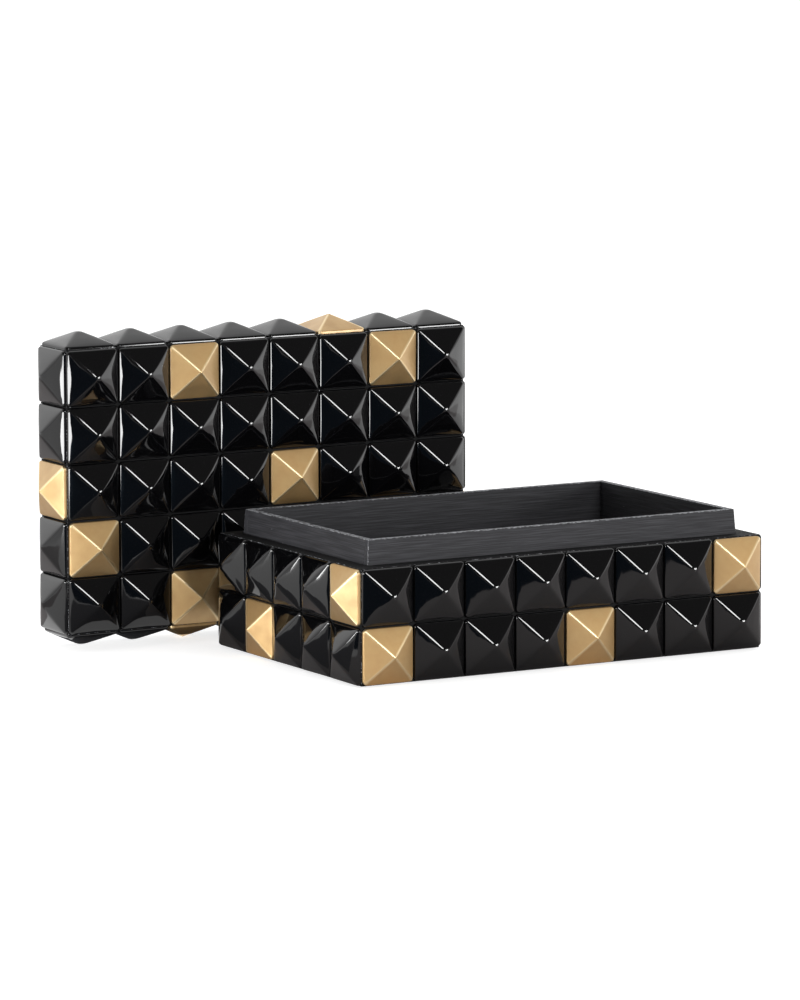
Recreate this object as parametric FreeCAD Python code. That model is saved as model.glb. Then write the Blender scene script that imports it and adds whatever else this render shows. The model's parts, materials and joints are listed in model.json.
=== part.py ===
import FreeCAD, Part
import os

# A rectangular keepsake box covered in square pyramid studs. The open base stands on its felt.
# The lid has been lifted off and stands on one long side behind the base, top face to the front.
# Millimetres. X runs along the box, Y from front to back and Z up from the table. The origin is
# the middle of the base's underside.

# Studs
stud_pitch = 35.0             # middle to middle, the same along, across and up
studs_along = 8
studs_across = 5
base_rows = 2                 # rows of studs up the base's sides
lid_rows = 1                  # rows of studs down the lid's sides
stud_seam = 0.6               # open seam between two black studs
gold_inset = 0.4              # how much further a gold stud's edge stands back from the seam
black_stud_height = 9.3       # board to tip
gold_stud_height = 10.4
black_shoulder = 0.5          # upright edge below the rounding
gold_shoulder = 1.2
black_round = 1.5             # radius along a black stud's edges and ridges
gold_round = 0.8
offset_tolerance = 0.0001

# Base boards
felt_thickness = 1.0
felt_margin = 6.0             # felt's edge to the floor board's edge
floor_board = 9.0
base_wall = 10.5
lip_board = 5.0
lip_rise = 15.0               # how far the lip stands above the walls
lip_taper = 1.0               # how far the lip's outside leans in at its rim
inner_floor_panel = 3.0
panel_clearance = 0.3         # round the inner floor panel and the lid's lining panel

# Lid boards
lid_clearance = 0.5           # between the lid's walls and the lip, each side
lid_top_board = 9.0
lining_panel = 2.0

# Where the lid stands
lid_shift = 90.0              # middle of the lid, to the left of the base's middle
lid_gap = 7.7                 # clear gap between the tips behind the base and those of the lid

overrun = 5.0                 # how far a cutting block runs past what it cuts

# Sizes that follow
length = studs_along * stud_pitch
width = studs_across * stud_pitch
seat = felt_thickness                       # underside of the floor board
floor_top = seat + floor_board
wall_top = seat + base_rows * stud_pitch
lip_top = wall_top + lip_rise
lid_wall = base_wall - lid_clearance
lid_rim = wall_top                          # the lid's rim when it is shut
lid_top = lid_rim + lid_rows * stud_pitch
lid_wall_top = lid_top - lid_top_board
left = -length / 2
right = length / 2
front = -width / 2
back = width / 2

# Gold studs, as (column, row). Columns start at the low X or low Y end, rows at the bottom, and
# on the lid's top at the front. A minus sign counts back from the last one.
base_gold = {
    "front": [(1, 1), (5, 1), (-1, 2)],
    "back": [(5, 1), (3, 2), (7, 2)],
    "left": [(-2, 1), (1, 2)],
    "right": [(2, 1), (4, 2)],
}
lid_gold = {
    "top": [(3, 1), (1, 2), (-2, 2), (5, 3), (3, -1), (-2, -1)],
    "front": [(3, 1), (-2, 1)],
    "back": [(-3, 1)],
    "left": [(3, 1)],
    "right": [(2, 1)],
}

X = FreeCAD.Vector(1, 0, 0)
Y = FreeCAD.Vector(0, 1, 0)
Z = FreeCAD.Vector(0, 0, 1)


def block(x0, x1, y0, y1, z0, z1):
    """A block between two values on each axis."""
    return Part.makeBox(x1 - x0, y1 - y0, z1 - z0, FreeCAD.Vector(x0, y0, z0))


def rectangle(x0, x1, y0, y1, z):
    """A level rectangular wire."""
    corners = [(x0, y0), (x1, y0), (x1, y1), (x0, y1), (x0, y0)]
    return Part.makePolygon([FreeCAD.Vector(x, y, z) for x, y in corners])


def stud(tile, height, shoulder, radius):
    """A pyramid on a square tile: a sharp core with a ball of the given radius swept over it, so
    that every edge and ridge is rounded, cut flat where it meets the board."""
    half = tile / 2 - radius
    corners = [(-half, -half), (half, -half), (half, half), (-half, half)]
    low = [FreeCAD.Vector(x, y, -overrun) for x, y in corners]
    high = [FreeCAD.Vector(x, y, shoulder) for x, y in corners]
    tip = FreeCAD.Vector(0, 0, height - radius)
    faces = [Part.Face(Part.makePolygon(low + low[:1]))]
    for i in range(len(corners)):
        j = (i + 1) % len(corners)
        faces.append(Part.Face(Part.makePolygon([low[i], low[j], high[j], high[i], low[i]])))
        faces.append(Part.Face(Part.makePolygon([high[i], high[j], tip, high[i]])))
    core = Part.makeSolid(Part.makeShell(faces))
    rounded = core.makeOffsetShape(radius, offset_tolerance, join=0)
    reach = tile / 2 + overrun
    return rounded.common(block(-reach, reach, -reach, reach, 0, height + overrun)).Solids[0]


BLACK_STUD = stud(stud_pitch - stud_seam, black_stud_height, black_shoulder, black_round)
GOLD_STUD = stud(stud_pitch - stud_seam - 2 * gold_inset, gold_stud_height, gold_shoulder, gold_round)


def shut(shape):
    """A piece of the base, or of the lid as it sits shut on the base."""
    return shape


def stood_up(shape):
    """A piece of the lid, moved from its shut place to where the lid stands behind the base: a
    quarter turn about X brings its top to the front, and its front side down on its tips."""
    face = back + 2 * gold_stud_height + lid_gap
    place = FreeCAD.Vector(-lid_shift, face + lid_top, gold_stud_height - front)
    moved = shape.copy()
    moved.Placement = FreeCAD.Placement(place, FreeCAD.Rotation(X, 90)).multiply(shape.Placement)
    return moved


def position(count, total):
    """A place counted from 1, or back from the last one where it is negative, as an index."""
    return count - 1 if count > 0 else total + count


def face_studs(body, face, place, corner, along, up, columns, rows, gold):
    """One face of studs as nodes: each row's black studs together and each gold stud alone.
    corner is the face's first corner; the studs point along the outward normal."""
    outward = {"front": -Y, "back": Y, "left": -X, "right": X, "top": Z}[face]
    turn = FreeCAD.Rotation(Z, outward)
    gold_places = [(position(c, columns), position(r, rows)) for c, r in gold]
    pieces = {}
    for row in range(rows):
        black = []
        for column in range(columns):
            middle = corner + (along * (column + 1 / 2) + up * (row + 1 / 2)) * stud_pitch
            is_gold = (column, row) in gold_places
            piece = (GOLD_STUD if is_gold else BLACK_STUD).copy()
            piece.Placement = FreeCAD.Placement(middle, turn)
            if is_gold:
                pieces[f"{body}_gold_stud_{face}_row{row + 1}_{column + 1}"] = place(piece)
            else:
                black.append(place(piece))
        pieces[f"{body}_black_studs_{face}_row{row + 1}"] = Part.makeCompound(black)
    return pieces


def side_studs(body, place, z, rows, gold):
    """The studs round the four sides of the base or the lid, from height z up."""
    front_left = FreeCAD.Vector(left, front, z)
    back_left = FreeCAD.Vector(left, back, z)
    front_right = FreeCAD.Vector(right, front, z)
    sides = [("front", front_left, X, studs_along), ("back", back_left, X, studs_along),
             ("left", front_left, Y, studs_across), ("right", front_right, Y, studs_across)]
    pieces = {}
    for face, corner, along, columns in sides:
        pieces.update(face_studs(body, face, place, corner, along, Z, columns, rows, gold[face]))
    return pieces


def wall_boards(body, place, thickness, z0, z1):
    """Four upright boards: front and back at full length, left and right between them."""
    boards = {
        "front": block(left, right, front, front + thickness, z0, z1),
        "back": block(left, right, back - thickness, back, z0, z1),
        "left": block(left, left + thickness, front + thickness, back - thickness, z0, z1),
        "right": block(right - thickness, right, front + thickness, back - thickness, z0, z1),
    }
    return {f"{body}_wall_{side}": place(board) for side, board in boards.items()}


def lip_boards():
    """The four inner boards that stand above the walls. One tapered ring is cut into boards, so
    that the front and back ones cover the ends of the side ones."""
    x0, x1 = left + base_wall, right - base_wall
    y0, y1 = front + base_wall, back - base_wall
    t = lip_taper
    sections = [
        rectangle(x0, x1, y0, y1, floor_top),
        rectangle(x0, x1, y0, y1, wall_top),
        rectangle(x0 + t, x1 - t, y0 + t, y1 - t, lip_top),
    ]
    inner = (x0 + lip_board, x1 - lip_board, y0 + lip_board, y1 - lip_board)
    ring = Part.makeLoft(sections, True, True)
    ring = ring.cut(block(*inner, floor_top - overrun, lip_top + overrun))
    low, high = floor_top - overrun, lip_top + overrun
    slabs = {
        "front": block(x0 - overrun, x1 + overrun, y0 - overrun, inner[2], low, high),
        "back": block(x0 - overrun, x1 + overrun, inner[3], y1 + overrun, low, high),
        "left": block(x0 - overrun, inner[0], inner[2], inner[3], low, high),
        "right": block(inner[1], x1 + overrun, inner[2], inner[3], low, high),
    }
    return {f"base_lip_{side}": ring.common(slab).Solids[0] for side, slab in slabs.items()}


def base():
    """Every piece of the base."""
    m = felt_margin
    inside = base_wall + lip_board + panel_clearance
    pieces = {
        "base_felt": block(left + m, right - m, front + m, back - m, 0, felt_thickness),
        "base_floor_board": block(left, right, front, back, seat, floor_top),
        "base_inner_floor": block(left + inside, right - inside, front + inside, back - inside,
                                  floor_top, floor_top + inner_floor_panel),
    }
    pieces.update(wall_boards("base", shut, base_wall, floor_top, wall_top))
    pieces.update(lip_boards())
    pieces.update(side_studs("base", shut, seat, base_rows, base_gold))
    return pieces


def lid():
    """Every piece of the lid, built shut and then stood up behind the base."""
    inside = lid_wall + panel_clearance
    top_board = block(left, right, front, back, lid_wall_top, lid_top)
    lining = block(left + inside, right - inside, front + inside, back - inside,
                   lid_wall_top - lining_panel, lid_wall_top)
    pieces = {"lid_top_board": stood_up(top_board), "lid_lining_panel": stood_up(lining)}
    pieces.update(wall_boards("lid", stood_up, lid_wall, lid_rim, lid_wall_top))
    pieces.update(side_studs("lid", stood_up, lid_rim, lid_rows, lid_gold))
    corner = FreeCAD.Vector(left, front, lid_top)
    pieces.update(face_studs("lid", "top", stood_up, corner, X, Y, studs_along, studs_across,
                             lid_gold["top"]))
    return pieces


def main():
    os.makedirs("parts", exist_ok=True)
    pieces = {**base(), **lid()}
    for node, shape in pieces.items():
        shape.exportStep(f"parts/{node}.step")
    solids = sum(len(shape.Solids) for shape in pieces.values())
    print(len(pieces), "nodes,", solids, "solids")


main()
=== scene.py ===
import json
import math

import bpy
import numpy as np
from mathutils import Matrix, Vector

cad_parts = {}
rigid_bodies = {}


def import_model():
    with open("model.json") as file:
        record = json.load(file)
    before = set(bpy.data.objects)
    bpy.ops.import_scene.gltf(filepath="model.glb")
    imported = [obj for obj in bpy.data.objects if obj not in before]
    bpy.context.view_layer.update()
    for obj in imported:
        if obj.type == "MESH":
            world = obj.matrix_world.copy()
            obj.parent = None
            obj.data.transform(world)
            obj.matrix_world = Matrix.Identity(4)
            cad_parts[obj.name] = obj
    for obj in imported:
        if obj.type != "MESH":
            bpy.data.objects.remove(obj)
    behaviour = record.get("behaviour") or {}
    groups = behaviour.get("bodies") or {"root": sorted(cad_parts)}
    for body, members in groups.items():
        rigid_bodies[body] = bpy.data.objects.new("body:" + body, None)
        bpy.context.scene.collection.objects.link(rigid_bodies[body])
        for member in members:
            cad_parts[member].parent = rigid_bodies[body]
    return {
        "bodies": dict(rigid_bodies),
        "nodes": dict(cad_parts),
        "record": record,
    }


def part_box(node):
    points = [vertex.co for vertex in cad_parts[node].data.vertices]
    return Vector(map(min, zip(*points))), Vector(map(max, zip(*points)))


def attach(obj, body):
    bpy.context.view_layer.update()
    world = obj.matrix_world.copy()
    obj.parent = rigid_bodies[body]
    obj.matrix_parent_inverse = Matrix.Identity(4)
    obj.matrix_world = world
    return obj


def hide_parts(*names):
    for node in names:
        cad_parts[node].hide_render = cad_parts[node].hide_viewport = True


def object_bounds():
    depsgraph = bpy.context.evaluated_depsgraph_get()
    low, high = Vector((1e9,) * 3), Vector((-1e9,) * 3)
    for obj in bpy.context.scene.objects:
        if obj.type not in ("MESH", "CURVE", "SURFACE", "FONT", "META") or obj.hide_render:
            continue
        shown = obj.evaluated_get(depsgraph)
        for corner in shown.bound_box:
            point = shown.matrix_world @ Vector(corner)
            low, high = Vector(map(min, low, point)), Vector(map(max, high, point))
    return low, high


bl_info = {
    "name": "Studded keepsake box",
    "version": (1, 0, 0),
    "blender": (4, 5, 0),
    "location": "3D View > Sidebar > Keepsake Box",
    "description": "Dresses the keepsake box: pyramid studs, painted boards, felt and the studio round it",
    "category": "Add Mesh",
}

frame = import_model()
CAD_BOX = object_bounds()
MM = 0.001
SEED = 7

BODIES = frame["record"]["behaviour"]["bodies"]
NODE_BODY = {name: body for body, names in BODIES.items() for name in names}
NODE_BOXES = {name: tuple(np.array(corner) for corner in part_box(name)) for name in frame["nodes"]}


def named(*words):
    """The frame's nodes whose names hold all of the words, in order."""
    return [name for name in sorted(NODE_BOXES) if all(word in name for word in words)]


def carcass(body):
    """Lowest and highest corner of a body's boards, without its studs."""
    boards = [name for name in NODE_BOXES if NODE_BODY[name] == body and "stud" not in name]
    low = np.min([NODE_BOXES[name][0] for name in boards], axis=0)
    high = np.max([NODE_BOXES[name][1] for name in boards], axis=0)
    return low, high


def stud_size(node):
    """Tile width and height of a node's studs, whether the node holds one or a row of them."""
    height, tile, _ = np.sort(NODE_BOXES[node][1] - NODE_BOXES[node][0])
    return float(tile), float(height)


# The frame doesn't tell how many studs stand along the box. Their pitch follows from the count.
STUDS_ALONG = 8
CARCASSES = {body: carcass(body) for body in frame["bodies"]}
PITCH = float((CARCASSES["base"][1] - CARCASSES["base"][0])[0]) / STUDS_ALONG
BLACK_TILE, BLACK_HEIGHT = stud_size("base_black_studs_front_row1")
GOLD_TILE, GOLD_HEIGHT = stud_size(named("gold_stud")[0])

# The lip's front board gives the lip's outer corner, its thickness and its rim.
LIP_LOW, LIP_HIGH = NODE_BOXES["base_lip_front"]
LIP_HALF = -LIP_LOW[:2]
LIP_BOARD = float((LIP_HIGH - LIP_LOW)[1])
LIP_TOP = float(LIP_HIGH[2])
WALL_TOP = float(NODE_BOXES["base_wall_front"][1][2])


def linear(code):
    """Linear colour of an sRGB hex code."""
    parts = np.array([int(code[i:i + 2], 16) for i in (1, 3, 5)]) / 255
    curved = ((parts + 0.055) / 1.055) ** 2.4
    return tuple(float(part) for part in np.where(parts <= 0.04045, parts / 12.92, curved))


def length_property(name, description, millimetres):
    """A length that a user would change, kept in metres."""
    return bpy.props.FloatProperty(name=name, description=description, default=millimetres * MM,
                                   min=0, unit="LENGTH", precision=5)


def angle_property(name, description, degrees):
    """An angle, kept in radians."""
    return bpy.props.FloatProperty(name=name, description=description,
                                   default=math.radians(degrees), subtype="ANGLE")


def power_property(name, description, watts):
    """The power of a lamp."""
    return bpy.props.FloatProperty(name=name, description=description, default=watts,
                                   min=0, subtype="POWER")


def colour_property(name, description, code):
    """A colour, written as an sRGB hex code."""
    return bpy.props.FloatVectorProperty(name=name, description=description, default=linear(code),
                                         min=0, max=1, size=3, subtype="COLOR")


class StudSizes(bpy.types.PropertyGroup):
    """Sizes of the pyramid studs that the frame doesn't hold."""
    black_ridge: length_property("Black ridge", "Plan radius of a black stud's ridges", 2.1)
    black_corner: length_property("Black corner", "Plan radius of a black stud's corners", 2.4)
    black_edge: length_property("Black edge", "Rounding where a black facet meets the side", 2.0)
    black_shoulder: length_property("Black shoulder", "Upright side under that rounding", 0.3)
    black_tip: length_property("Black tip", "How far from its apex a black stud is cut to a cap", 2.1)
    black_bulge: length_property("Black bulge", "How far a black facet bulges before its foot", 0.4)
    gold_ridge: length_property("Gold ridge", "Plan radius of a gold stud's ridges", 0.85)
    gold_corner: length_property("Gold corner", "Plan radius of a gold stud's corners", 2.8)
    gold_edge: length_property("Gold edge", "Rounding where a gold facet meets the side", 0.8)
    gold_shoulder: length_property("Gold shoulder", "Upright side under that rounding", 1.2)
    gold_tip: length_property("Gold tip", "How far from its apex a gold stud is cut to a cap", 0.5)
    gold_bulge: length_property("Gold bulge", "How far a gold facet bulges before its foot", 0.08)
    glue_bed: length_property("Glue bed", "How deep a stud's back sits in its glue", 0.1)
    shift: length_property("Shift", "How far a stud strays from its place in the grid", 0.2)
    lean: length_property("Lean", "How far a stud's tip strays from over its middle", 0.2)
    turn: angle_property("Turn", "How far a stud is turned or tilted by hand", 0.3)


class BoardSizes(bpy.types.PropertyGroup):
    """Sizes of the boards that the frame doesn't hold."""
    edge: length_property("Edge", "Rounding of the boards' edges", 0.5)
    panel_edge: length_property("Panel edge", "Rounding of the thin panels' edges", 0.3)
    wear: length_property("Wear", "How far wear reaches in from an edge", 0.7)
    spacing: length_property("Spacing", "Spacing of the mesh lines on a board", 12)
    taper: length_property("Taper", "How far the lip leans in at its rim", 1)


class Finishes(bpy.types.PropertyGroup):
    """Colours of the finishes."""
    lacquer: colour_property("Lacquer", "Black lacquer on the studs", "#050506")
    dust: colour_property("Dust", "Specks of dust on the lacquer", "#8d8d90")
    brass: colour_property("Brass", "Satin brass", "#caab79")
    brass_dark: colour_property("Brass, deep", "Darker cast in the brass", "#ba9868")
    # Lighter brass for the ridges: partly rubbed bright by handling, partly a painted highlight.
    brass_rubbed_and_highlight: colour_property("Brass, rubbed", "Brass on the ridges, rubbed bright", "#e6cfa2")
    paint: colour_property("Paint", "Black paint brushed on wood", "#222225")
    paint_light: colour_property("Paint, light", "The paint's lighter brush lines", "#434347")
    worn: colour_property("Worn edge", "Primer that shows where an edge is worn", "#9a9ca0")
    stain: colour_property("Stain", "Black stain behind the studs", "#070708")
    stain_light: colour_property("Stain, light", "The stain's lighter lines", "#111113")
    felt: colour_property("Felt", "Black felt", "#121214")
    felt_light: colour_property("Felt, light", "The felt's lighter fibres", "#2a2a2c")
    floor: colour_property("Floor", "Pale floor", "#c8c8c8")


class Studio(bpy.types.PropertyGroup):
    """Camera, lamps and floor."""
    camera_place: bpy.props.FloatVectorProperty(
        name="Camera place", description="Where the camera stands",
        default=(-1.78276, -2.98741, 0.57718), subtype="TRANSLATION")
    camera_turn: angle_property("Camera turn", "Turn to the right of the Y axis", 29.926)
    camera_tilt: angle_property("Camera tilt", "Tilt below the horizon", 7.947)
    camera_roll: angle_property("Camera roll", "Roll about the line of sight", 0.097)
    lens: bpy.props.FloatProperty(
        name="Lens", description="Focal length on a 36 mm high sensor",
        default=206.955, subtype="DISTANCE_CAMERA")
    floor_half: bpy.props.FloatProperty(
        name="Floor", description="Half the width of the floor", default=14, unit="LENGTH")
    floor_glow: bpy.props.FloatProperty(
        name="Floor glow", description="Light that the floor adds to its picture",
        default=0.75, min=0, max=1, subtype="FACTOR")
    key_power: power_property("Key lamp", "Power of the key lamp", 64)
    second_power: power_property("Second lamp", "Power of the second lamp", 48)
    strip_power: power_property("Strip lamp", "Power of the low strip lamp", 5)
    panel_power: power_property("Right panel", "Power of the right panel", 1.3)


# The Mix node has a socket of each name for every kind of data. These are its sockets for colours.
MIX_FIRST = 6
MIX_SECOND = 7
MIX_RESULT = 2


def add_node(tree, kind, inputs=None, **settings):
    """Adds a shader node, gives it its settings, and sets its inputs or links sockets to them."""
    made = tree.nodes.new(kind)
    for name, value in settings.items():
        setattr(made, name, value)
    for name, value in (inputs or {}).items():
        if isinstance(value, bpy.types.NodeSocket):
            tree.links.new(value, made.inputs[name])
        else:
            made.inputs[name].default_value = value
    return made


def opaque(colour):
    """A colour with full alpha, as a colour socket takes it."""
    return (*colour, 1)


def new_material(name):
    """An empty material, its node tree and its surface socket."""
    material = bpy.data.materials.get(name) or bpy.data.materials.new(name)
    material.use_nodes = True
    tree = material.node_tree
    tree.nodes.clear()
    output = add_node(tree, "ShaderNodeOutputMaterial")
    return material, tree, output.inputs["Surface"]


def scattered_specks(tree, place, spacing, core, rim, channel, missing):
    """Socket that is 1 on round specks and 0 between them. Each cell of the spacing has room for
    one speck, which is full out to the core radius and fades to nothing at the rim radius. The
    channel of the cell's random colour decides which share of the specks is missing."""
    cells = add_node(tree, "ShaderNodeTexVoronoi", {"Vector": place, "Scale": 1 / spacing})
    speck = add_node(tree, "ShaderNodeMapRange", {
        "Value": cells.outputs["Distance"], "From Min": core / spacing, "From Max": rim / spacing,
        "To Min": 1, "To Max": 0})
    chance = add_node(tree, "ShaderNodeSeparateColor", {"Color": cells.outputs["Color"]})
    kept = add_node(tree, "ShaderNodeMath", {0: chance.outputs[channel], 1: missing},
                    operation="GREATER_THAN")
    seen = add_node(tree, "ShaderNodeMath", {0: speck.outputs["Result"], 1: kept.outputs[0]},
                    operation="MULTIPLY")
    return seen.outputs[0]


def lacquer_material(finishes):
    """Black polyurethane lacquer on moulded resin: sprayed and left glossy, so reflections are
    sharp, with a very slight orange peel and a few specks of dust caught on it."""
    material, tree, surface = new_material("black_lacquer_sprayed")
    place = add_node(tree, "ShaderNodeTexCoord").outputs["Object"]
    peel_size = 4 * MM
    peel_depth = 0.004 * MM
    peel = add_node(tree, "ShaderNodeTexNoise", {"Vector": place, "Scale": 1 / peel_size, "Detail": 1})
    bump = add_node(tree, "ShaderNodeBump", {
        "Height": peel.outputs["Fac"], "Strength": 1, "Distance": peel_depth})
    speck = scattered_specks(tree, place, spacing=11 * MM, core=0.154 * MM, rim=0.264 * MM,
                             channel="Red", missing=0.72)
    colour = add_node(tree, "ShaderNodeMix", {
        "Factor": speck, MIX_FIRST: opaque(finishes.lacquer), MIX_SECOND: opaque(finishes.dust)},
        data_type="RGBA")
    rough = add_node(tree, "ShaderNodeMapRange", {"Value": speck, "To Min": 0.045, "To Max": 0.6})
    shader = add_node(tree, "ShaderNodeBsdfPrincipled", {
        "Base Color": colour.outputs[MIX_RESULT], "Roughness": rough.outputs["Result"], "IOR": 1.5,
        "Normal": bump.outputs["Normal"]})
    tree.links.new(shader.outputs["BSDF"], surface)
    return material


def brass_material(finishes):
    """Brass plate, pressed and satin blasted under a clear coat: broad soft reflections and a very
    fine grain. The ridges, kept in the attribute ridge, are painted a lighter brass: partly rubbed bright
    by handling, partly a painted highlight."""
    material, tree, surface = new_material("brass_satin_blasted")
    place = add_node(tree, "ShaderNodeTexCoord").outputs["Object"]
    cloud_size = 9 * MM
    grit = 0.35 * MM
    grit_depth = 0.006 * MM
    ridge = add_node(tree, "ShaderNodeAttribute", attribute_name="ridge").outputs["Fac"]
    cloud = add_node(tree, "ShaderNodeTexNoise", {"Vector": place, "Scale": 1 / cloud_size, "Detail": 3})
    grain = add_node(tree, "ShaderNodeTexNoise", {"Vector": place, "Scale": 1 / grit, "Detail": 2})
    blasted = add_node(tree, "ShaderNodeMapRange", {
        "Value": cloud.outputs["Fac"], "From Min": 0.3, "From Max": 0.7, "To Min": 0.52, "To Max": 0.62})
    rough = add_node(tree, "ShaderNodeMapRange", {
        "Value": ridge, "To Min": blasted.outputs["Result"], "To Max": 0.4})
    cast = add_node(tree, "ShaderNodeMix", {
        "Factor": cloud.outputs["Fac"], MIX_FIRST: opaque(finishes.brass),
        MIX_SECOND: opaque(finishes.brass_dark)}, data_type="RGBA")
    # Painted highlight, partly real rubbing: the ridges turn to the lighter rubbed brass.
    colour = add_node(tree, "ShaderNodeMix", {
        "Factor": ridge, MIX_FIRST: cast.outputs[MIX_RESULT],
        MIX_SECOND: opaque(finishes.brass_rubbed_and_highlight)}, data_type="RGBA")
    bump = add_node(tree, "ShaderNodeBump", {
        "Height": grain.outputs["Fac"], "Strength": 1, "Distance": grit_depth})
    shader = add_node(tree, "ShaderNodeBsdfPrincipled", {
        "Base Color": colour.outputs[MIX_RESULT], "Metallic": 1, "Roughness": rough.outputs["Result"],
        "Coat Weight": 0.6, "Coat Roughness": 0.25, "Normal": bump.outputs["Normal"]})
    tree.links.new(shader.outputs["BSDF"], surface)
    return material


def board_material(name, dark, light, worn, roughness, gloss, line_depth, worn_from):
    """A wooden board under black paint or stain, brushed along the grain: fine lines run the
    board's length, and the primer shows in dots and dashes where the edges are worn, and in a few
    specks elsewhere. The pattern follows the board's own coordinates, kept in the attribute
    grain, and the attribute wear. Wear shows where it passes worn_from."""
    material, tree, surface = new_material(name)
    grain = add_node(tree, "ShaderNodeAttribute", attribute_name="grain").outputs["Vector"]
    wear = add_node(tree, "ShaderNodeAttribute", attribute_name="wear").outputs["Fac"]
    line_width = 0.55 * MM
    line_length = 28 * MM
    chip_width = 0.6 * MM
    chip_length = 1.8 * MM
    chip_fade = 0.08
    stretched = add_node(tree, "ShaderNodeMapping", {
        "Vector": grain, "Scale": (1 / line_length, 1 / line_width, 1 / line_width)})
    lines = add_node(tree, "ShaderNodeTexNoise", {
        "Vector": stretched.outputs["Vector"], "Scale": 1, "Detail": 5, "Roughness": 0.6})
    line_share = add_node(tree, "ShaderNodeMapRange", {
        "Value": lines.outputs["Fac"], "From Min": 0.42, "From Max": 0.78})
    brushed = add_node(tree, "ShaderNodeMix", {
        "Factor": line_share.outputs["Result"], MIX_FIRST: opaque(dark), MIX_SECOND: opaque(light)},
        data_type="RGBA")
    spread = add_node(tree, "ShaderNodeMapping", {
        "Vector": grain, "Scale": (1 / chip_length, 1 / chip_width, 1 / chip_width)})
    chips = add_node(tree, "ShaderNodeTexNoise", {
        "Vector": spread.outputs["Vector"], "Scale": 1, "Detail": 3})
    raised = add_node(tree, "ShaderNodeMath", {0: wear, 1: chips.outputs["Fac"]}, operation="MULTIPLY")
    worn_share = add_node(tree, "ShaderNodeMapRange", {
        "Value": raised.outputs[0], "From Min": worn_from, "From Max": worn_from + chip_fade})
    rubbed = add_node(tree, "ShaderNodeMix", {
        "Factor": worn_share.outputs["Result"], MIX_FIRST: brushed.outputs[MIX_RESULT],
        MIX_SECOND: opaque(worn)}, data_type="RGBA")
    speck = scattered_specks(tree, grain, spacing=7 * MM, core=0.14 * MM, rim=0.315 * MM,
                             channel="Green", missing=0.75)
    colour = add_node(tree, "ShaderNodeMix", {
        "Factor": speck, MIX_FIRST: rubbed.outputs[MIX_RESULT], MIX_SECOND: opaque(worn)},
        data_type="RGBA")
    bump = add_node(tree, "ShaderNodeBump", {
        "Height": lines.outputs["Fac"], "Strength": 1, "Distance": line_depth})
    rough = add_node(tree, "ShaderNodeMapRange", {
        "Value": worn_share.outputs["Result"], "To Min": roughness, "To Max": 0.95})
    shader = add_node(tree, "ShaderNodeBsdfPrincipled", {
        "Base Color": colour.outputs[MIX_RESULT], "Roughness": rough.outputs["Result"], "IOR": 1.47,
        "Specular IOR Level": gloss, "Normal": bump.outputs["Normal"]})
    tree.links.new(shader.outputs["BSDF"], surface)
    return material


def painted_wood(finishes):
    """Black paint on the lip and the inner panels: satin, with brush lines that can be felt."""
    return board_material("wood_black_painted", finishes.paint, finishes.paint_light, finishes.worn,
                          roughness=0.6, gloss=0.3, line_depth=0.018 * MM, worn_from=0.47)


def stained_wood(finishes):
    """Black stain on the boards behind the studs: nearly matt, with open grain."""
    return board_material("wood_black_stained", finishes.stain, finishes.stain_light, finishes.worn,
                          roughness=0.75, gloss=0.2, line_depth=0.03 * MM, worn_from=0.53)


def felt_material(finishes):
    """Pressed wool felt: matt, with short matted fibres that catch a little light at the edge."""
    material, tree, surface = new_material("felt_pressed_wool")
    place = add_node(tree, "ShaderNodeTexCoord").outputs["Object"]
    fibre = 0.4 * MM
    fibre_depth = 0.1 * MM
    fuzz = add_node(tree, "ShaderNodeTexNoise", {"Vector": place, "Scale": 1 / fibre, "Detail": 4})
    shade = add_node(tree, "ShaderNodeMix", {
        "Factor": fuzz.outputs["Fac"], MIX_FIRST: opaque(finishes.felt),
        MIX_SECOND: opaque(finishes.felt_light)}, data_type="RGBA")
    bump = add_node(tree, "ShaderNodeBump", {
        "Height": fuzz.outputs["Fac"], "Strength": 1, "Distance": fibre_depth})
    shader = add_node(tree, "ShaderNodeBsdfPrincipled", {
        "Base Color": shade.outputs[MIX_RESULT], "Roughness": 0.95, "Sheen Weight": 0.3,
        "Sheen Roughness": 0.5, "Normal": bump.outputs["Normal"]})
    tree.links.new(shader.outputs["BSDF"], surface)
    return material


def floor_material(finishes, studio):
    """Plain white seamless paper. It keeps the object's shadow, and what the camera, a mirror or
    glass sees of it is lifted to white by a glow that lights nothing."""
    material, tree, surface = new_material("paper_white_seamless")
    rays = add_node(tree, "ShaderNodeLightPath").outputs
    plain = add_node(tree, "ShaderNodeMath", {0: rays["Is Camera Ray"], 1: rays["Is Glossy Ray"]},
                     operation="MAXIMUM")
    seen = add_node(tree, "ShaderNodeMath", {0: plain.outputs[0], 1: rays["Is Transmission Ray"]},
                    operation="MAXIMUM")
    glow = add_node(tree, "ShaderNodeMath", {0: seen.outputs[0], 1: studio.floor_glow},
                    operation="MULTIPLY")
    paper = add_node(tree, "ShaderNodeBsdfDiffuse", {"Color": opaque(finishes.floor)})
    light = add_node(tree, "ShaderNodeEmission", {"Color": (1, 1, 1, 1), "Strength": glow.outputs[0]})
    both = add_node(tree, "ShaderNodeAddShader", {0: paper.outputs[0], 1: light.outputs[0]})
    tree.links.new(both.outputs[0], surface)
    return material


def shade_card_material(name, code):
    """Matt card, coated on one side: painted shade that only darkens what the gloss shows of the floor."""
    material, tree, surface = new_material(name)
    shader = add_node(tree, "ShaderNodeBsdfDiffuse", {"Color": opaque(linear(code))})
    tree.links.new(shader.outputs[0], surface)
    return material


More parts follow.
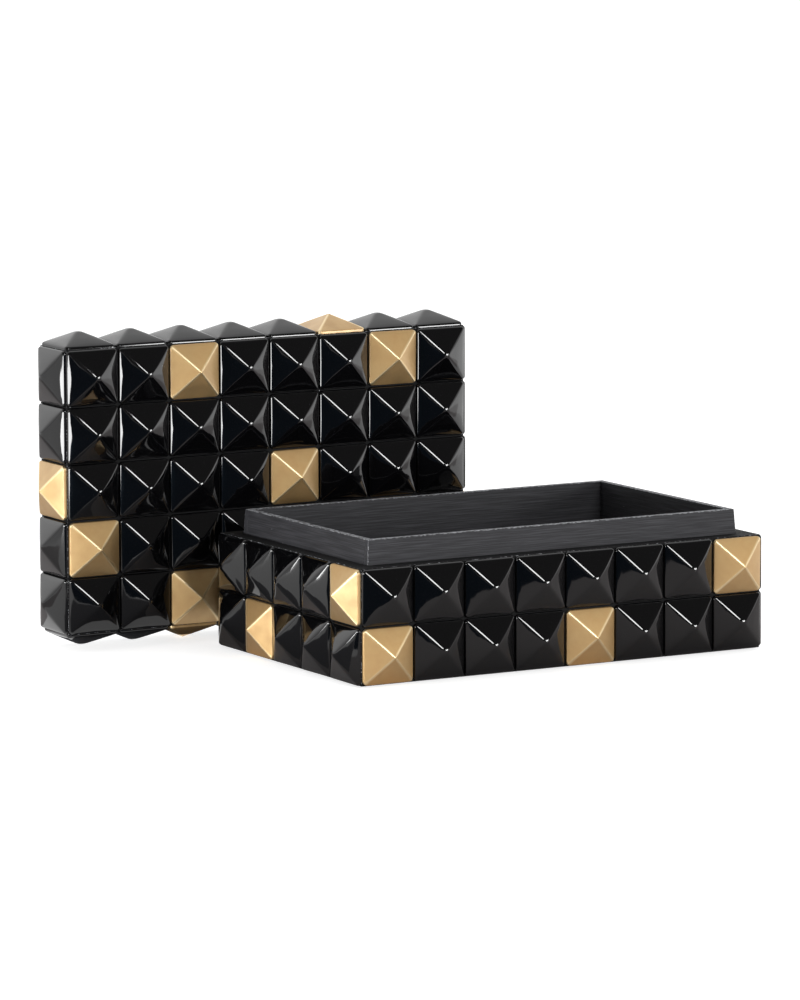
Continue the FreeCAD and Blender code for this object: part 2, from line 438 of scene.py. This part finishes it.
def make_piece(name, points, faces, material, normals, attributes=None):
    """A mesh object at the origin from arrays of points and lists of faces, shaded smooth."""
    mesh = bpy.data.meshes.new(name)
    mesh.from_pydata(points.tolist(), [], faces)
    mesh.update()
    mesh.polygons.foreach_set("use_smooth", np.ones(len(mesh.polygons), bool))
    for label, values in (attributes or {}).items():
        kind = "FLOAT" if values.ndim == 1 else "FLOAT_VECTOR"
        field = "value" if values.ndim == 1 else "vector"
        layer = mesh.attributes.new(label, kind, "POINT")
        layer.data.foreach_set(field, values.astype(np.float32).ravel())
    mesh.normals_split_custom_set_from_vertices(normals.tolist())
    mesh.materials.append(material)
    piece = bpy.data.objects.new(name, mesh)
    bpy.context.scene.collection.objects.link(piece)
    return piece


def dress(piece, node):
    """Lets a piece stand for a node of the frame: it rides on the node's body and hides it."""
    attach(piece, NODE_BODY[node])
    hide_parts(node)


# The mesh of a stud. A ring has four corner arcs of ARC_STEPS steps, and a point at each of
# SIDE_SHARES of the way along each straight side. The facets have TIP_RINGS rings, which crowd
# towards the tip, and then one at each of FOOT_SHARES of the way to the foot. The rounded edge
# has EDGE_RINGS.
ARC_STEPS = 8
SIDE_SHARES = (0.02, 0.12, 0.5, 0.88, 0.98)
TIP_RINGS = 13
TIP_CROWDING = 3.6
FOOT_SHARES = (0.88, 0.94, 0.975, 1)
EDGE_RINGS = 6

# The shape of a stud. RIDGE_FALL is the share of the ridges' radius that is lost at the corners,
# and FACET_BOW how much steeper a facet is at its foot. CAP_SHARE is the cap's slope as a share
# of the facets', and CAP_JOIN how softly the two meet, as a share of the cap's reach. The rings'
# corners have RING_CORNER times the ridges' radius, and widen from CORNER_FROM of the way to the
# foot on.
RIDGE_FALL = 0.6
FACET_BOW = 0.15
CAP_SHARE = 0.45
CAP_JOIN = 0.12
CORNER_FROM = 0.8
RING_CORNER = 2

# The bulge's formula is scaled so that its highest value is 1. The scale is also how steeply it
# falls at the foot.
BULGE_SCALE = 256 / 27

# The facets' foot is found in rounds, from a first guess of its lean in radians.
FOOT_GUESS = 0.4
FOOT_ROUNDS = 12


def square_outline():
    """Corner directions and outward normals round a rounded square. A point of the outline with
    half width a and corner radius c is (a - c) times its corner direction plus c times its
    normal. Each quarter turn is one corner arc and then the straight side after it. Also returns
    how near each point lies to a corner's middle, from 1 there to 0 on the straight sides."""
    directions = []
    normals = []
    ridges = []
    for quarter in range(4):
        start = quarter * math.pi / 2
        angles = start + np.linspace(0, math.pi / 2, ARC_STEPS + 1)
        corner = math.sqrt(2) * np.array([math.cos(start + math.pi / 4), math.sin(start + math.pi / 4)])
        following = np.array([-corner[1], corner[0]])
        directions.append(np.tile(corner, (len(angles), 1)))
        normals.append(np.stack([np.cos(angles), np.sin(angles)], axis=1))
        ridges.append(np.sin(2 * (angles - start)) ** 2)
        shares = np.array(SIDE_SHARES)[:, None]
        directions.append(corner * (1 - shares) + following * shares)
        normals.append(np.tile(normals[-1][-1], (len(shares), 1)))
        ridges.append(np.zeros(len(shares)))
    return np.concatenate(directions), np.concatenate(normals), np.concatenate(ridges)


def facet_fall(x, y, half, ridge, tip):
    """How far the stud has fallen below its tip, over the facets' slope. The distance from the
    middle is m, in a rounded-square norm, (|x|^p + |y|^p)^(1/p). The exponent p grows outwards
    with the ratio of the distance to the ridge radius, so the ridges keep a true radius, which
    falls towards the corners. The facets fall by m + bow m^2 / (2 half). A cap takes off their
    apex: it falls by root(2) share (root(m^2 + tip^2) - tip), and meets them at the distance tip,
    where its slope is only that share of theirs. The larger fall counts, slightly rounded."""
    away = np.hypot(x, y)
    radius = ridge * (1 - RIDGE_FALL * np.clip(away / half, 0, 1))
    power = 2 + math.sqrt(2) * away / radius
    large = np.maximum(np.abs(x), np.abs(y))
    small = np.minimum(np.abs(x), np.abs(y))
    norm = large * (1 + (small / large) ** power) ** (1 / power)
    cap = math.sqrt(2) * CAP_SHARE * (np.hypot(norm, tip) - tip)
    meeting = (2 - math.sqrt(2)) * CAP_SHARE * tip
    facets = norm - tip + FACET_BOW * (norm ** 2 - tip ** 2) / (2 * half) + meeting
    return (cap + facets + np.hypot(cap - facets, CAP_JOIN * tip)) / 2


def facet_bulge(x, y, foot):
    """Shape of a facet's bulge, 1 at its highest: u^3 (1 - u) (1 - v^2) in the share u of the way
    to the foot and the share v of the way from the facet's middle line to its ridges. It is
    nothing on the ridges, and steepest at the foot."""
    large = np.maximum(np.abs(x), np.abs(y))
    small = np.minimum(np.abs(x), np.abs(y))
    out = large / foot
    return BULGE_SCALE * out ** 3 * (1 - out) * (1 - (small / large) ** 2)


def facet_foot(half, height, ridge, edge, shoulder, tip, bulge):
    """Half width of the foot of the facets, their slope, and the angle at which they meet the
    rounded edge. The foot is where the edge's arc has that angle: half - edge + edge sin(lean)
    out and shoulder + edge cos(lean) up. The slope carries the facets from the tip to there, and
    the angle follows from the slope and the bulge, so the steps are repeated until they settle."""
    lean = FOOT_GUESS
    for _ in range(FOOT_ROUNDS):
        foot = half - edge + edge * math.sin(lean)
        foot_height = shoulder + edge * math.cos(lean)
        slope = (height - foot_height) / float(facet_fall(foot, 0, half, ridge, tip))
        lean = math.atan(slope + BULGE_SCALE * bulge / foot)
    return foot, slope, lean


def stud_rings(half, foot, lean, ridge, corner, edge):
    """Half width and corner radius of every ring from the tip out, how many rings lie on the
    facets, and the angle of each ring on the edge's arc. The first rings are circles: the corner
    radius is r = a s / (a^4 + s^4)^(1/4) in the half width a and the span s, so it follows a near
    the tip and stays at s further out. Near the foot it blends to that of the stud's corners. The
    last ring is the stud's back."""
    share = np.arange(1, TIP_RINGS + 1) / TIP_RINGS
    inner = FOOT_SHARES[0] * np.expm1(TIP_CROWDING * share) / math.expm1(TIP_CROWDING)
    facet = foot * np.concatenate([inner, FOOT_SHARES[1:]])
    span = RING_CORNER * ridge
    fine = facet * span / (facet ** 4 + span ** 4) ** (1 / 4)
    grow = np.clip((facet / foot - CORNER_FROM) / (1 - CORNER_FROM), 0, 1)
    blend = grow * grow * (3 - 2 * grow)
    foot_corner = corner - (half - foot)
    facet_radius = fine + (foot_corner - fine) * blend
    angle = np.linspace(lean, math.pi / 2, EDGE_RINGS + 1)[1:]
    arc = half - edge + edge * np.sin(angle)
    widths = np.concatenate([facet, arc, [half]])
    radii = np.concatenate([facet_radius, corner - (half - arc), [corner]])
    return widths, radii, len(facet), angle


def ring_faces(count, rings):
    """Quads between the rings, and the triangles of the two fans that close the tip and the back.
    Point 0 is the tip, then come the rings' points from the tip out, and then the middle of the
    back."""
    here = np.arange(count)
    after = (here + 1) % count
    start = 1 + count * np.arange(rings)[:, None]
    quads = np.stack([start[:-1] + here, start[1:] + here, start[1:] + after, start[:-1] + after], axis=2)
    tip_fan = np.stack([np.zeros(count, int), 1 + here, 1 + after], axis=1)
    last = start[-1, 0]
    back_fan = np.stack([last + after, last + here, np.full(count, last + count)], axis=1)
    return quads.reshape(-1, 4), np.concatenate([tip_fan, back_fan])


def stud_surface(tile, height, ridge, corner, edge, shoulder, tip, bulge, bed):
    """A pyramid stud on the plane z = 0, as a function of a ring and a place on the outline. Each
    ring is a rounded square in plan. Up to the facets' foot a ring's points lie on the pyramid:
    its height less the slope times facet_fall, plus the bulge. From the foot a quarter arc turns
    every point into the upright side, which ends in the glue. Normals are the cross product
    of the differences along and across the rings. Returns points, normals, faces and how near
    each point lies to a ridge; every face points outwards and the shape is closed."""
    half = tile / 2
    foot, slope, lean = facet_foot(half, height, ridge, edge, shoulder, tip, bulge)
    widths, radii, on_facets, angle = stud_rings(half, foot, lean, ridge, corner, edge)
    directions, sides, ridges = square_outline()
    count = len(directions)
    plan = (widths - radii)[:, None, None] * directions + radii[:, None, None] * sides
    top = plan[:on_facets]
    level = height - slope * facet_fall(top[..., 0], top[..., 1], half, ridge, tip)
    level = level + bulge * facet_bulge(top[..., 0], top[..., 1], foot)
    arc_level = level[-1] + edge * (np.cos(angle) - math.cos(lean))[:, None]
    levels = np.concatenate([level, arc_level, np.full((1, count), -bed)])
    points = np.concatenate([plan, levels[..., None]], axis=2)

    across = np.gradient(points, axis=0)
    across[-1] = (0, 0, -1)
    across[-2] = points[-2] - points[-3]
    along = np.roll(points, -1, axis=1) - np.roll(points, 1, axis=1)
    normals = np.cross(across, along)
    normals /= np.linalg.norm(normals, axis=2, keepdims=True)

    points = np.concatenate([[[0, 0, height]], points.reshape(-1, 3), [[0, 0, -bed]]])
    normals = np.concatenate([[[0, 0, 1]], normals.reshape(-1, 3), [[0, 0, -1]]])
    ridge_rub_and_highlight = np.concatenate([[1], np.tile(ridges, len(widths)), [0]])
    return points, normals, ring_faces(count, len(widths)), ridge_rub_and_highlight


def stud_place(node):
    """Board point under the middle of a node of studs, its outward axis and the axis that its
    studs stand along, all from the node's box: it is thinnest outwards and longest along."""
    low, high = NODE_BOXES[node]
    inner_low, inner_high = CARCASSES[NODE_BODY[node]]
    size = high - low
    out_axis = int(np.argmin(size))
    middle = (low + high) / 2
    sign = 1 if middle[out_axis] > (inner_low + inner_high)[out_axis] / 2 else -1
    outward = np.zeros(3)
    outward[out_axis] = sign
    middle[out_axis] = low[out_axis] if sign > 0 else high[out_axis]
    along_axis = int(np.argmax(size))
    return middle, outward, along_axis


def row_places(node):
    """Places of the black studs in a row: every place of the grid that no gold stud takes."""
    middle, outward, along_axis = stud_place(node)
    body = NODE_BODY[node]
    low, high = CARCASSES[body]
    count = round(float((high - low)[along_axis]) / PITCH)
    places = np.tile(middle, (count, 1))
    places[:, along_axis] = low[along_axis] + (np.arange(count) + 1 / 2) * PITCH
    golds = np.array([stud_place(name)[0] for name in named("gold_stud") if NODE_BODY[name] == body])
    gaps = np.linalg.norm(places[:, None] - golds[None], axis=2).min(axis=1)
    return places[gaps > PITCH / 4], outward


def turned(outward, rng, turn):
    """Rotation that stands a stud on its face, with the small turn and tilt of hand gluing."""
    upward = Vector(outward).to_track_quat("Z", "Y").to_matrix()
    by_x, by_y, by_z = (Matrix.Rotation(angle, 3, axis)
                        for angle, axis in zip(rng.uniform(-turn, turn, 3), "XYZ"))
    return np.array(upward @ (by_x @ by_y @ by_z))


def leaned(points, normals, slip):
    """A stud with its tip off its middle: a shear by the slip for each unit of height."""
    moved = points.copy()
    moved[:, :2] += slip * points[:, 2:]
    changed = normals.copy()
    changed[:, 2] -= normals[:, :2] @ slip
    return moved, changed / np.linalg.norm(changed, axis=1, keepdims=True)


def set_studs(shape, places, outward, sizes, rng):
    """Copies one stud shape to several places on a face, each a little out of true. A stray moves
    a stud only along the face, so it stays on its board."""
    straight, straight_normals, faces, _ = shape
    height = straight[:, 2].max()
    in_face = outward == 0
    all_points = []
    all_normals = []
    for place in places:
        slip = rng.uniform(-sizes.lean, sizes.lean, 2) / height
        points, normals = leaned(straight, straight_normals, slip)
        rotation = turned(outward, rng, sizes.turn)
        stray = rng.uniform(-sizes.shift, sizes.shift, 3) * in_face
        all_points.append(points @ rotation.T + place + stray)
        all_normals.append(normals @ rotation.T)
    starts = len(straight) * np.arange(len(places))[:, None, None]
    all_faces = []
    for part in faces:
        all_faces += (part + starts).reshape(-1, part.shape[1]).tolist()
    return np.concatenate(all_points), np.concatenate(all_normals), all_faces


# Mesh lines near a board's edge: some on the rounding, as shares of its radius, and some beyond
# it. Two mesh lines stay at least LINE_GAP off the middle of a thin board. Points nearer to each
# other than SAME_POINT are one.
EDGE_SHARES = (0, 0.42, 0.73, 1)
EDGE_STEPS = (0.25 * MM, 0.6 * MM, 1.2 * MM, 2.5 * MM)
LINE_GAP = 0.05 * MM
SAME_POINT = 0.0001 * MM

# Wear on the lip's outer corners reaches in further than on its rim: gaps count for this share.
CORNER_WEAR_SHARE = 0.6


def board_lines(length, edge, spacing):
    """Places of the mesh lines along one side of a board: crowded at both ends, where the edge is
    rounded and worn, and evenly spaced between."""
    near = np.concatenate([np.array(EDGE_SHARES) * edge, edge + np.array(EDGE_STEPS)])
    near = near[near < length / 2 - LINE_GAP]
    rest = length - 2 * near[-1]
    between = np.linspace(0, rest, max(2, math.ceil(rest / spacing) + 1))[1:-1] + near[-1]
    return np.concatenate([near, between, length - near[::-1]])


def rounded_board(low, high, edge, spacing):
    """A board with rounded edges: six grids on the faces of a block, where each point is drawn to
    its nearest point of a block that is smaller by the rounding all round, and set off from there
    by the rounding. Returns points, normals, faces, and the points before rounding."""
    lines = [low[axis] + board_lines(high[axis] - low[axis], edge, spacing) for axis in range(3)]
    blocks = []
    faces = []
    total = 0
    for axis in range(3):
        second, third = (axis + 1) % 3, (axis + 2) % 3
        for level, order in ((low[axis], -1), (high[axis], 1)):
            grid_b, grid_c = np.meshgrid(lines[second], lines[third], indexing="ij")
            block = np.empty((*grid_b.shape, 3))
            block[..., axis] = level
            block[..., second] = grid_b
            block[..., third] = grid_c
            index = total + np.arange(grid_b.size).reshape(grid_b.shape)
            quads = np.stack([index[:-1, :-1], index[1:, :-1], index[1:, 1:], index[:-1, 1:]], axis=2)
            faces.append(quads.reshape(-1, 4)[:, ::order])
            blocks.append(block.reshape(-1, 3))
            total += grid_b.size
    square = np.concatenate(blocks)
    keys = np.round((square - low) / SAME_POINT).astype(np.int64)
    _, first, match = np.unique(keys, axis=0, return_index=True, return_inverse=True)
    square = square[first]
    faces = match.reshape(-1)[np.concatenate(faces)]
    core = np.clip(square, low + edge, high - edge)
    normals = square - core
    normals /= np.linalg.norm(normals, axis=1, keepdims=True)
    return core + edge * normals, normals, faces.tolist(), square


def edge_gaps(square, low, high):
    """How far each point of a board lies from the board's nearest edge: the second smallest of
    its distances to the board's six faces."""
    return np.sort(np.concatenate([square - low, high - square], axis=1), axis=1)[:, 1]


def rim_gaps(square, low, high):
    """How far each point of a lip board lies from what hands and the lid rub: the rim of the
    whole lip and its four outer corners. The joints between the boards stay unworn, so a single
    board's own box doesn't count."""
    corner = (LIP_HALF - np.abs(square[:, :2])).max(axis=1)
    return np.minimum(CORNER_WEAR_SHARE * corner, LIP_TOP - square[:, 2])


def board_marks(square, low, high, gaps, wear, offset):
    """The attributes of a board: its own coordinates, the longest first, and its wear, which is
    e to the power of -(gap / wear)^2 and so falls from 1 to 0 away from a worn edge."""
    order = np.argsort(low - high)
    return {"grain": (square - low)[:, order] + offset, "wear": np.exp(-(gaps / wear) ** 2)}


def lean_in(points, taper):
    """Leans the outside of the lip boards in above the walls, by the taper at their rim. The
    inside stays upright: a point moves by taper times its share of the rise times its share of
    the board's thickness from the inside."""
    rise = np.clip((points[:, 2] - WALL_TOP) / (LIP_TOP - WALL_TOP), 0, 1)[:, None]
    share = np.clip((np.abs(points[:, :2]) - (LIP_HALF - LIP_BOARD)) / LIP_BOARD, 0, 1)
    moved = points.copy()
    moved[:, :2] -= np.sign(points[:, :2]) * share * rise * taper
    return moved


def make_board(node, suffix, material, sizes, edge, offset, taper=0, gaps=edge_gaps):
    """A rounded board in the place of a node of the frame."""
    low, high = NODE_BOXES[node]
    points, normals, faces, square = rounded_board(low, high, edge, sizes.spacing)
    marks = board_marks(square, low, high, gaps(square, low, high), sizes.wear, offset)
    piece = make_piece(node + suffix, lean_in(points, taper), faces, material, normals, marks)
    dress(piece, node)
    return piece


class KEEPSAKE_OT_black_studs(bpy.types.Operator):
    """Makes the rows of black lacquered studs"""
    bl_idname = "keepsake.black_studs"
    bl_label = "Black studs"

    def execute(self, context):
        sizes = context.scene.keepsake_studs
        material = lacquer_material(context.scene.keepsake_finishes)
        shape = stud_surface(BLACK_TILE, BLACK_HEIGHT, sizes.black_ridge, sizes.black_corner,
                             sizes.black_edge, sizes.black_shoulder, sizes.black_tip,
                             sizes.black_bulge, sizes.glue_bed)
        rng = np.random.default_rng(SEED)
        for node in named("black_studs"):
            places, outward = row_places(node)
            points, normals, faces = set_studs(shape, places, outward, sizes, rng)
            piece = make_piece(node + "_lacquered", points, faces, material, normals)
            dress(piece, node)
        return {"FINISHED"}


class KEEPSAKE_OT_gold_studs(bpy.types.Operator):
    """Makes the single satin brass studs"""
    bl_idname = "keepsake.gold_studs"
    bl_label = "Gold studs"

    def execute(self, context):
        sizes = context.scene.keepsake_studs
        material = brass_material(context.scene.keepsake_finishes)
        shape = stud_surface(GOLD_TILE, GOLD_HEIGHT, sizes.gold_ridge, sizes.gold_corner,
                             sizes.gold_edge, sizes.gold_shoulder, sizes.gold_tip,
                             sizes.gold_bulge, sizes.glue_bed)
        # How near each point lies to a ridge, where the brass is painted lighter: partly rubbed, partly a
        # painted highlight.
        ridge_rub_and_highlight = shape[3]
        rng = np.random.default_rng(SEED + 1)
        for node in named("gold_stud"):
            place, outward, _ = stud_place(node)
            points, normals, faces = set_studs(shape, [place], outward, sizes, rng)
            piece = make_piece(node + "_satin", points, faces, material, normals, {"ridge": ridge_rub_and_highlight})
            dress(piece, node)
        return {"FINISHED"}


class KEEPSAKE_OT_carcass(bpy.types.Operator):
    """Makes the stained boards that carry the studs: the walls, the floor and the lid's top"""
    bl_idname = "keepsake.carcass"
    bl_label = "Carcass boards"

    def execute(self, context):
        sizes = context.scene.keepsake_boards
        material = stained_wood(context.scene.keepsake_finishes)
        rng = np.random.default_rng(SEED + 2)
        for node in named("_wall_") + ["base_floor_board", "lid_top_board"]:
            make_board(node, "_stained", material, sizes, sizes.edge,
                       rng.uniform(0, 1, 3))
        return {"FINISHED"}


class KEEPSAKE_OT_lip(bpy.types.Operator):
    """Makes the four painted lip boards that the lid sits over"""
    bl_idname = "keepsake.lip"
    bl_label = "Lip boards"

    def execute(self, context):
        sizes = context.scene.keepsake_boards
        material = painted_wood(context.scene.keepsake_finishes)
        rng = np.random.default_rng(SEED + 3)
        for node in named("base_lip"):
            make_board(node, "_painted", material, sizes, sizes.edge,
                       rng.uniform(0, 1, 3), sizes.taper, rim_gaps)
        return {"FINISHED"}


class KEEPSAKE_OT_panels(bpy.types.Operator):
    """Makes the thin panels inside: the box's inner floor and the lid's lining"""
    bl_idname = "keepsake.panels"
    bl_label = "Inner panels"

    def execute(self, context):
        sizes = context.scene.keepsake_boards
        material = painted_wood(context.scene.keepsake_finishes)
        rng = np.random.default_rng(SEED + 4)
        for node in ("base_inner_floor", "lid_lining_panel"):
            make_board(node, "_painted", material, sizes, sizes.panel_edge,
                       rng.uniform(0, 1, 3))
        return {"FINISHED"}


class KEEPSAKE_OT_felt(bpy.types.Operator):
    """Makes the felt under the box"""
    bl_idname = "keepsake.felt"
    bl_label = "Felt"

    def execute(self, context):
        sizes = context.scene.keepsake_boards
        material = felt_material(context.scene.keepsake_finishes)
        piece = make_board("base_felt", "_cut", material, sizes, sizes.panel_edge, 0)
        return {"FINISHED"}


# Lamps: their places, and their widths and heights, in metres. The key and the second lamp are
# placed from the middle of the frame's box. The key's picture runs along the studs' upper left
# ridges, and the second one's sits on their tips. The strip stands low and far to the left, and
# the panel far to the right.
KEY_REACH = Vector((0.3, -3.8, 1.17))
KEY_SIZE = (0.95, 0.9)
KEY_ROLL = math.radians(42)
SECOND_REACH = Vector((1.95, -3.0, 0.3))
SECOND_SIZE = (0.95, 0.7)
STRIP_PLACE = Vector((-0.83, -0.25, 0.053))
STRIP_SIZE = (0.74, 0.1)
PANEL_PLACE = Vector((0.95, 0.05, 0.2))
PANEL_SIZE = (0.9, 0.5)

# The studio's light: how bright it is at shares of the way from straight down to straight up, and
# its strength. On the camera's side lies a dark room, which fades in with a direction's share
# towards it and with its height.
SKY_STOPS = ((0.05, 0.65), (0.33, 1.0), (0.48, 0.85), (0.8, 0.72))
SKY_STRENGTH = 1.6
ROOM_COLOUR = "#4f4e4d"
ROOM_SIDE = (-0.12, -0.99, 0)
ROOM_SIDE_FADE = (-0.1, 0.35)
ROOM_HEIGHT_FADE = (-0.02, 0.03)

# Cards just over the floor, which only the gloss shows: painted shade in the floor's reflection,
# near the box and towards the camera. Their outlines in metres, their height and their colour.
# The dark one widens towards the camera from a point left of the base. The slate ones lie under the
# lid and in front of its left end, and the grey ones in front of the base and under it, to its right and
# behind the lid. Where two overlap, the higher one shows.
DARK_SHADE_CARDS = (
    ((-0.274, -0.076), (-1.9, -0.2), (-5, -12), (4.4, -12)),
)
DARK_HEIGHT = 3 * MM
DARK_SHADE_COLOUR = "#303f4d"
SLATE_SHADE_CARDS = (
    ((-0.222, 0.112), (0.05, 0.112), (0.05, 0.17), (-0.222, 0.17)),
    ((-0.36, -0.075), (-0.17, -0.075), (-0.17, 0.1), (-0.36, 0.1)),
)
SLATE_HEIGHT = 2 * MM
SLATE_SHADE_COLOUR = "#8e8e92"
GREY_SHADE_CARDS = (
    ((-0.25, -1.5), (0.2, -1.5), (0.2, 0.1), (-0.25, 0.1)),
    ((0.2, -1.5), (1.2, -1.5), (1.2, -0.05), (0.2, -0.05)),
    ((-0.7, 0.17), (-0.2, 0.17), (-0.2, 1.3), (-0.7, 1.3)),
)
GREY_HEIGHT = 1 * MM
GREY_SHADE_COLOUR = "#d0cbcb"

# The camera's sensor, in millimetres, and how far it sees, in metres.
SENSOR = 36
CAMERA_REACH = 60


def plane(name, corners, material):
    """A flat stage piece from its corners."""
    mesh = bpy.data.meshes.new(name)
    mesh.from_pydata([list(corner) for corner in corners], [], [list(range(len(corners)))])
    mesh.materials.append(material)
    made = bpy.data.objects.new(name, mesh)
    bpy.context.scene.collection.objects.link(made)
    return made


def lay_shade_cards(name, outlines, height, material):
    """Cards of painted shade over the floor that nothing but the gloss shows."""
    for index, outline in enumerate(outlines):
        card = plane(f"{name}_{index + 1}", [(x, y, height) for x, y in outline], material)
        card.visible_camera = False
        card.visible_shadow = False
        card.visible_diffuse = False


def lamp(name, place, target, size, roll, power):
    """A softbox turned to a point and rolled about its line of sight."""
    data = bpy.data.lights.new(name, "AREA")
    data.shape = "RECTANGLE"
    data.size, data.size_y = size
    data.energy = power
    made = bpy.data.objects.new(name, data)
    made.location = place
    made.rotation_euler = (target - place).to_track_quat("-Z", "Y").to_euler()
    made.rotation_euler.rotate_axis("Z", roll)
    made.visible_camera = False
    bpy.context.scene.collection.objects.link(made)


def set_lamps(studio):
    """The two lamps in front and the two low ones at the sides, which shine along the X axis."""
    middle = (CAD_BOX[0] + CAD_BOX[1]) / 2
    right = Vector((1, 0, 0))
    lamp("key_lamp", middle + KEY_REACH, middle, KEY_SIZE, KEY_ROLL, studio.key_power)
    lamp("second_lamp", middle + SECOND_REACH, middle, SECOND_SIZE, 0, studio.second_power)
    lamp("strip_lamp", STRIP_PLACE, STRIP_PLACE + right, STRIP_SIZE, 0, studio.strip_power)
    lamp("panel_lamp", PANEL_PLACE, PANEL_PLACE - right, PANEL_SIZE, 0, studio.panel_power)


def studio_world():
    """A white studio behind and to both sides, and a dark room on the camera's side."""
    world = bpy.data.worlds.new("studio")
    world.use_nodes = True
    tree = world.node_tree
    tree.nodes.clear()
    direction = add_node(tree, "ShaderNodeTexCoord").outputs["Generated"]
    parts = add_node(tree, "ShaderNodeSeparateXYZ", {0: direction})
    ramp = add_node(tree, "ShaderNodeValToRGB", {"Fac": parts.outputs["Z"]})
    while len(ramp.color_ramp.elements) < len(SKY_STOPS):
        ramp.color_ramp.elements.new(0.5)
    for element, (place, level) in zip(ramp.color_ramp.elements, SKY_STOPS):
        element.position = place
        element.color = (level, level, level, 1)
    height = add_node(tree, "ShaderNodeMapRange", {
        "Value": parts.outputs["Z"], "From Min": ROOM_HEIGHT_FADE[0], "From Max": ROOM_HEIGHT_FADE[1]},
        interpolation_type="SMOOTHSTEP")
    side = add_node(tree, "ShaderNodeVectorMath", {0: direction, 1: ROOM_SIDE}, operation="DOT_PRODUCT")
    room = add_node(tree, "ShaderNodeMapRange", {
        "Value": side.outputs["Value"], "From Min": ROOM_SIDE_FADE[0], "From Max": ROOM_SIDE_FADE[1]},
        interpolation_type="SMOOTHSTEP")
    dark = add_node(tree, "ShaderNodeMath", {0: height.outputs["Result"], 1: room.outputs["Result"]},
                    operation="MULTIPLY")
    colour = add_node(tree, "ShaderNodeMix", {
        "Factor": dark.outputs[0], MIX_FIRST: ramp.outputs["Color"],
        MIX_SECOND: opaque(linear(ROOM_COLOUR))}, data_type="RGBA")
    background = add_node(tree, "ShaderNodeBackground", {
        "Color": colour.outputs[MIX_RESULT], "Strength": SKY_STRENGTH})
    output = add_node(tree, "ShaderNodeOutputWorld")
    tree.links.new(background.outputs[0], output.inputs["Surface"])
    return world


def set_camera(scene, studio):
    """The camera at the place, turn, tilt and roll of the photograph's."""
    data = bpy.data.cameras.new("camera")
    data.sensor_fit = "VERTICAL"
    data.sensor_height = SENSOR
    data.sensor_width = SENSOR
    data.lens = studio.lens
    data.clip_end = CAMERA_REACH
    camera = bpy.data.objects.new("camera", data)
    turn = Matrix.Rotation(-studio.camera_turn, 4, "Z")
    tilt = Matrix.Rotation(math.pi / 2 - studio.camera_tilt, 4, "X")
    roll = Matrix.Rotation(-studio.camera_roll, 4, "Z")
    camera.matrix_world = Matrix.Translation(studio.camera_place) @ turn @ tilt @ roll
    scene.collection.objects.link(camera)
    scene.camera = camera


class KEEPSAKE_OT_stage(bpy.types.Operator):
    """Makes the floor, the cards of painted shade, the lamps and the camera"""
    bl_idname = "keepsake.stage"
    bl_label = "Stage"

    def execute(self, context):
        scene = context.scene
        studio = scene.keepsake_studio
        half = studio.floor_half
        plane("floor", [(-half, -half, 0), (half, -half, 0), (half, half, 0), (-half, half, 0)],
              floor_material(scene.keepsake_finishes, studio))
        # Cards of painted shade, seen only in reflections of the floor.
        lay_shade_cards("dark_card", DARK_SHADE_CARDS, DARK_HEIGHT, shade_card_material("card_black_flocked", DARK_SHADE_COLOUR))
        lay_shade_cards("slate_card", SLATE_SHADE_CARDS, SLATE_HEIGHT, shade_card_material("card_slate", SLATE_SHADE_COLOUR))
        lay_shade_cards("grey_card", GREY_SHADE_CARDS, GREY_HEIGHT, shade_card_material("card_grey", GREY_SHADE_COLOUR))
        set_lamps(studio)
        scene.world = studio_world()
        scene.view_settings.view_transform = "Standard"
        set_camera(scene, studio)
        return {"FINISHED"}


STEPS = (KEEPSAKE_OT_black_studs, KEEPSAKE_OT_gold_studs, KEEPSAKE_OT_carcass, KEEPSAKE_OT_lip,
         KEEPSAKE_OT_panels, KEEPSAKE_OT_felt, KEEPSAKE_OT_stage)
GROUPS = {"keepsake_studs": StudSizes, "keepsake_boards": BoardSizes, "keepsake_finishes": Finishes,
          "keepsake_studio": Studio}


class KEEPSAKE_PT_panel(bpy.types.Panel):
    """Lists the box's settings and the steps that make it"""
    bl_idname = "KEEPSAKE_PT_panel"
    bl_label = "Keepsake Box"
    bl_space_type = "VIEW_3D"
    bl_region_type = "UI"
    bl_category = "Keepsake Box"

    def draw(self, context):
        for pointer, group in GROUPS.items():
            box = self.layout.box()
            for name in group.__annotations__:
                box.prop(getattr(context.scene, pointer), name)
        for step in STEPS:
            self.layout.operator(step.bl_idname)


def register():
    for made in (*GROUPS.values(), *STEPS, KEEPSAKE_PT_panel):
        bpy.utils.register_class(made)
    for pointer, group in GROUPS.items():
        setattr(bpy.types.Scene, pointer, bpy.props.PointerProperty(type=group))


def unregister():
    for pointer in GROUPS:
        delattr(bpy.types.Scene, pointer)
    for made in reversed((*GROUPS.values(), *STEPS, KEEPSAKE_PT_panel)):
        bpy.utils.unregister_class(made)


def main():
    register()
    bpy.ops.keepsake.black_studs()
    bpy.ops.keepsake.gold_studs()
    bpy.ops.keepsake.carcass()
    bpy.ops.keepsake.lip()
    bpy.ops.keepsake.panels()
    bpy.ops.keepsake.felt()
    bpy.ops.keepsake.stage()


if __name__ == "__main__":
    main()
